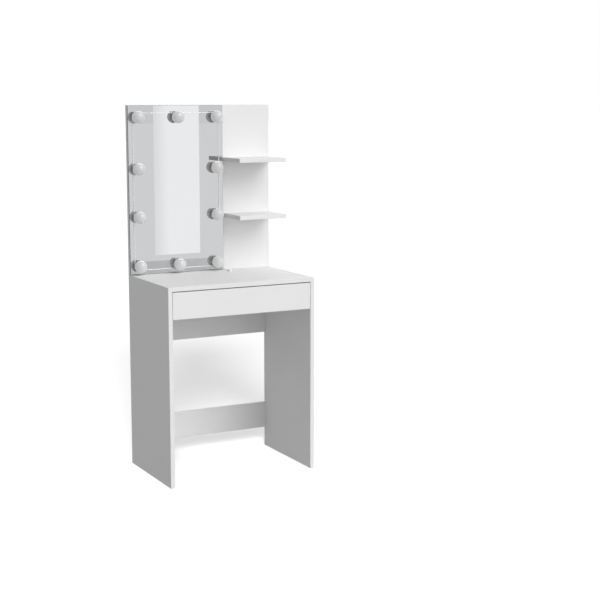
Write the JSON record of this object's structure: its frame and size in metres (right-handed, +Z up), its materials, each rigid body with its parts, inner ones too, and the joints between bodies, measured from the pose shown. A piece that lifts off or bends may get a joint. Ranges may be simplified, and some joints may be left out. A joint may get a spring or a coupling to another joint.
{
  "type": "vanity table with mirror",
  "caption": "White board vanity table with an inset drawer, a tall back board with a bulb-lit mirror and open shelves.",
  "frame": {"origin": "on the floor, in the middle of the footprint", "axes": "+X to the sitter's right, +Y to the back (the wall side), +Z up; the drawer opens towards -Y"},
  "size_m": [0.6, 0.402, 1.4],
  "materials": {
    "white_board": "white melamine-faced chipboard, fine satin",
    "drawer_floor": "thin white-coated hardboard",
    "mirror": "silvered glass, plain cut edge",
    "opal_globe": "opal diffuser, soft gloss",
    "chrome_base": "plated plastic, dark reflections",
    "lamp_board": "white solder mask",
    "foam_tape": "closed-cell foam",
    "cable": "clear-grey sleeve",
    "dimmer": "moulded white plastic",
    "runner_steel": "white epoxy coat",
    "roller_nylon": "moulded nylon",
    "zinc_fitting": "zinc plated",
    "steel_fastener": "zinc plated",
    "beech": "fluted beech"
  },
  "bodies": {
    "carcass": {"back_board": "white_board", "bulb_adhesive_pads": "foam_tape", "bulb_base_1": "chrome_base", "bulb_base_10": "chrome_base", "bulb_base_2": "chrome_base", "bulb_base_3": "chrome_base", "bulb_base_4": "chrome_base", "bulb_base_5": "chrome_base", "bulb_base_6": "chrome_base", "bulb_base_7": "chrome_base", "bulb_base_8": "chrome_base", "bulb_base_9": "chrome_base", "bulb_globe_1": "opal_globe", "bulb_globe_10": "opal_globe", "bulb_globe_2": "opal_globe", "bulb_globe_3": "opal_globe", "bulb_globe_4": "opal_globe", "bulb_globe_5": "opal_globe", "bulb_globe_6": "opal_globe", "bulb_globe_7": "opal_globe", "bulb_globe_8": "opal_globe", "bulb_globe_9": "opal_globe", "bulb_lamp_boards": "lamp_board", "cabinet_roller_pins": "steel_fastener", "cabinet_runner_left": "runner_steel", "cabinet_runner_right": "runner_steel", "cabinet_runner_screws": "steel_fastener", "carcass_cam_bolts": "steel_fastener", "carcass_cam_locks": "zinc_fitting", "desk_top": "white_board", "joining_plate_screws": "steel_fastener", "joining_plates": "zinc_fitting", "left_side_panel": "white_board", "lights_dimmer": "dimmer", "lights_lead": "cable", "lower_shelf": "white_board", "mirror_cable": "cable", "mirror_glass": "mirror", "mirror_tape_strips": "foam_tape", "rear_lower_rail": "white_board", "rear_upper_rail": "white_board", "right_side_panel": "white_board", "shelf_screws": "steel_fastener", "upper_shelf": "white_board", "wood_dowels": "beech"},
    "drawer": {"drawer_front": "white_board", "drawer_left_side": "white_board", "drawer_right_side": "white_board", "drawer_back": "white_board", "drawer_floor": "drawer_floor", "drawer_cam_bolts": "steel_fastener", "drawer_cam_locks": "zinc_fitting", "drawer_runner_left": "runner_steel", "drawer_runner_right": "runner_steel", "drawer_runner_screws": "steel_fastener", "drawer_roller_pins": "steel_fastener"},
    "cabinet_roller_left": {"cabinet_roller_left": "roller_nylon"},
    "cabinet_roller_right": {"cabinet_roller_right": "roller_nylon"},
    "drawer_roller_left": {"drawer_roller_left": "roller_nylon"},
    "drawer_roller_right": {"drawer_roller_right": "roller_nylon"}
  },
  "joints": [
    {"name": "drawer_slide", "type": "slide", "parent": "carcass", "child": "drawer", "axis": [0, -1, 0], "range_m": [0, 0.28]},
    {"name": "cabinet_roller_left_spin", "type": "hinge", "parent": "carcass", "child": "cabinet_roller_left", "pos_m": [-0.2772, -0.169, 0.6507], "axis": [1, 0, 0], "range_deg": [0, 1461]},
    {"name": "drawer_roller_left_spin", "type": "hinge", "parent": "drawer", "child": "drawer_roller_left", "pos_m": [-0.2772, 0.153, 0.6457], "axis": [1, 0, 0], "range_deg": [0, 1847]},
    {"name": "cabinet_roller_right_spin", "type": "hinge", "parent": "carcass", "child": "cabinet_roller_right", "pos_m": [0.2772, -0.169, 0.6507], "axis": [1, 0, 0], "range_deg": [0, 1461]},
    {"name": "drawer_roller_right_spin", "type": "hinge", "parent": "drawer", "child": "drawer_roller_right", "pos_m": [0.2772, 0.153, 0.6457], "axis": [1, 0, 0], "range_deg": [0, 1847]}
  ],
  "couplings": [
    {"joint": "cabinet_roller_left_spin", "follows": "drawer_slide", "rad_per_m": 90.909},
    {"joint": "drawer_roller_left_spin", "follows": "drawer_slide", "rad_per_m": 114.94},
    {"joint": "cabinet_roller_right_spin", "follows": "drawer_slide", "rad_per_m": 90.909},
    {"joint": "drawer_roller_right_spin", "follows": "drawer_slide", "rad_per_m": 114.94}
  ]
}
